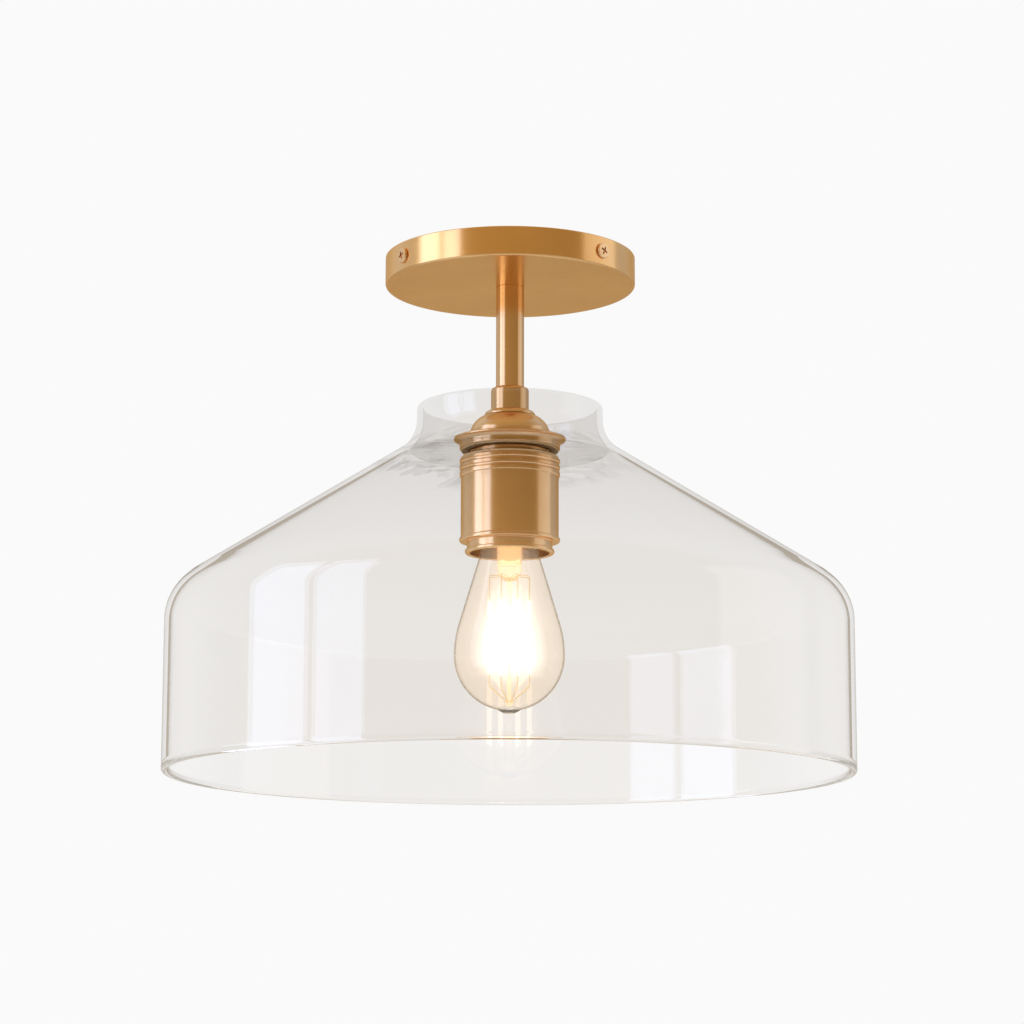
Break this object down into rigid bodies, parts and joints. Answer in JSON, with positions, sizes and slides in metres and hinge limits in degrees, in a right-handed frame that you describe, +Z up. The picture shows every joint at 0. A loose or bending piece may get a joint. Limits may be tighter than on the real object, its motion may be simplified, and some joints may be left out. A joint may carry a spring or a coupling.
{
  "type": "semi-flush ceiling light",
  "caption": "Ceiling light with a flat brass canopy, a short stem, a clear glass bell shade clamped round a brass socket cup, and a teardrop filament lamp.",
  "frame": {"origin": "middle of the canopy's open rim, in the plane of the ceiling", "axes": "+Z up into the ceiling along the stem, the light hangs along -Z, -Y is the front of the picture, +X its right"},
  "size_m": [0.356, 0.356, 0.2741],
  "materials": {
    "brass": "satin, natural",
    "steel": "zinc plated",
    "green_steel": "green passivated",
    "white_plastic": "moulded",
    "green_cover": "smooth",
    "black_cover": "smooth",
    "white_cover": "smooth",
    "phenolic": "moulded",
    "gasket_rubber": "matt, translucent white",
    "clear_glass": "polished, clear",
    "fibre": "matt",
    "bulb_glass": "polished, faint amber",
    "amber_glass": "polished, amber",
    "cap_metal": "nickel plated",
    "black_glass": "polished",
    "wire_metal": "drawn",
    "filament": "glowing, warm white"
  },
  "bodies": {
    "fitting": {"canopy": "brass", "canopy_side_screws": "brass", "mounting_plate": "steel", "earth_screw": "green_steel", "terminal_block": "white_plastic", "terminal_sleeves": "brass", "clamp_screws": "steel", "block_screws": "steel", "canopy_nipple": "steel", "canopy_washer": "steel", "earth_lug": "brass", "canopy_locknut": "steel", "earth_lead": "green_cover", "live_lead": "black_cover", "neutral_lead": "white_cover", "stem_tube": "brass", "stem_top_bush": "brass", "stem_bottom_bush": "brass", "stem_collar": "brass", "socket_nipple": "steel", "socket_dome": "brass", "dome_washer": "steel", "socket_bracket": "steel", "socket_locknut": "steel", "foot_screws": "steel", "shade_flange": "brass", "lampholder_body": "phenolic", "live_terminal": "brass", "neutral_terminal": "steel", "terminal_screws": "steel", "terminal_rivets": "brass", "screw_shell": "brass", "centre_contact": "brass"},
    "lamp_tip": {"bulb_tip_contact": "cap_metal", "bulb_insulator": "black_glass"},
    "lamp": {"bulb_glass": "bulb_glass", "bulb_cap": "cap_metal", "bulb_mount": "amber_glass", "bulb_head_wires": "wire_metal", "bulb_foot_wires": "wire_metal", "bulb_filaments": "filament"},
    "shade": {"glass_shade": "clear_glass", "upper_gasket": "gasket_rubber", "lower_gasket": "gasket_rubber"},
    "cup": {"socket_cup": "brass", "cup_liner": "fibre", "end_ring": "brass"}
  },
  "joints": [
    {"name": "shade_drop", "type": "slide", "parent": "fitting", "child": "shade", "axis": [0, 0, -1], "range_m": [0, 0.0075]},
    {"name": "cup_turn", "type": "hinge", "parent": "shade", "child": "cup", "pos_m": [0, 0, -0.1084], "axis": [0, 0, -1], "range_deg": [0, 1800]},
    {"name": "lamp_drop", "type": "slide", "parent": "fitting", "child": "lamp_tip", "axis": [0, 0, -1], "range_m": [0, 0.01452]},
    {"name": "lamp_turn", "type": "hinge", "parent": "lamp_tip", "child": "lamp", "pos_m": [0, 0, -0.1077], "axis": [0, 0, -1], "range_deg": [0, 1440]}
  ],
  "couplings": [
    {"joint": "cup_turn", "follows": "shade_drop", "rad_per_m": 4188.8},
    {"joint": "lamp_drop", "follows": "lamp_turn", "m_per_rad": 0.00057757}
  ]
}
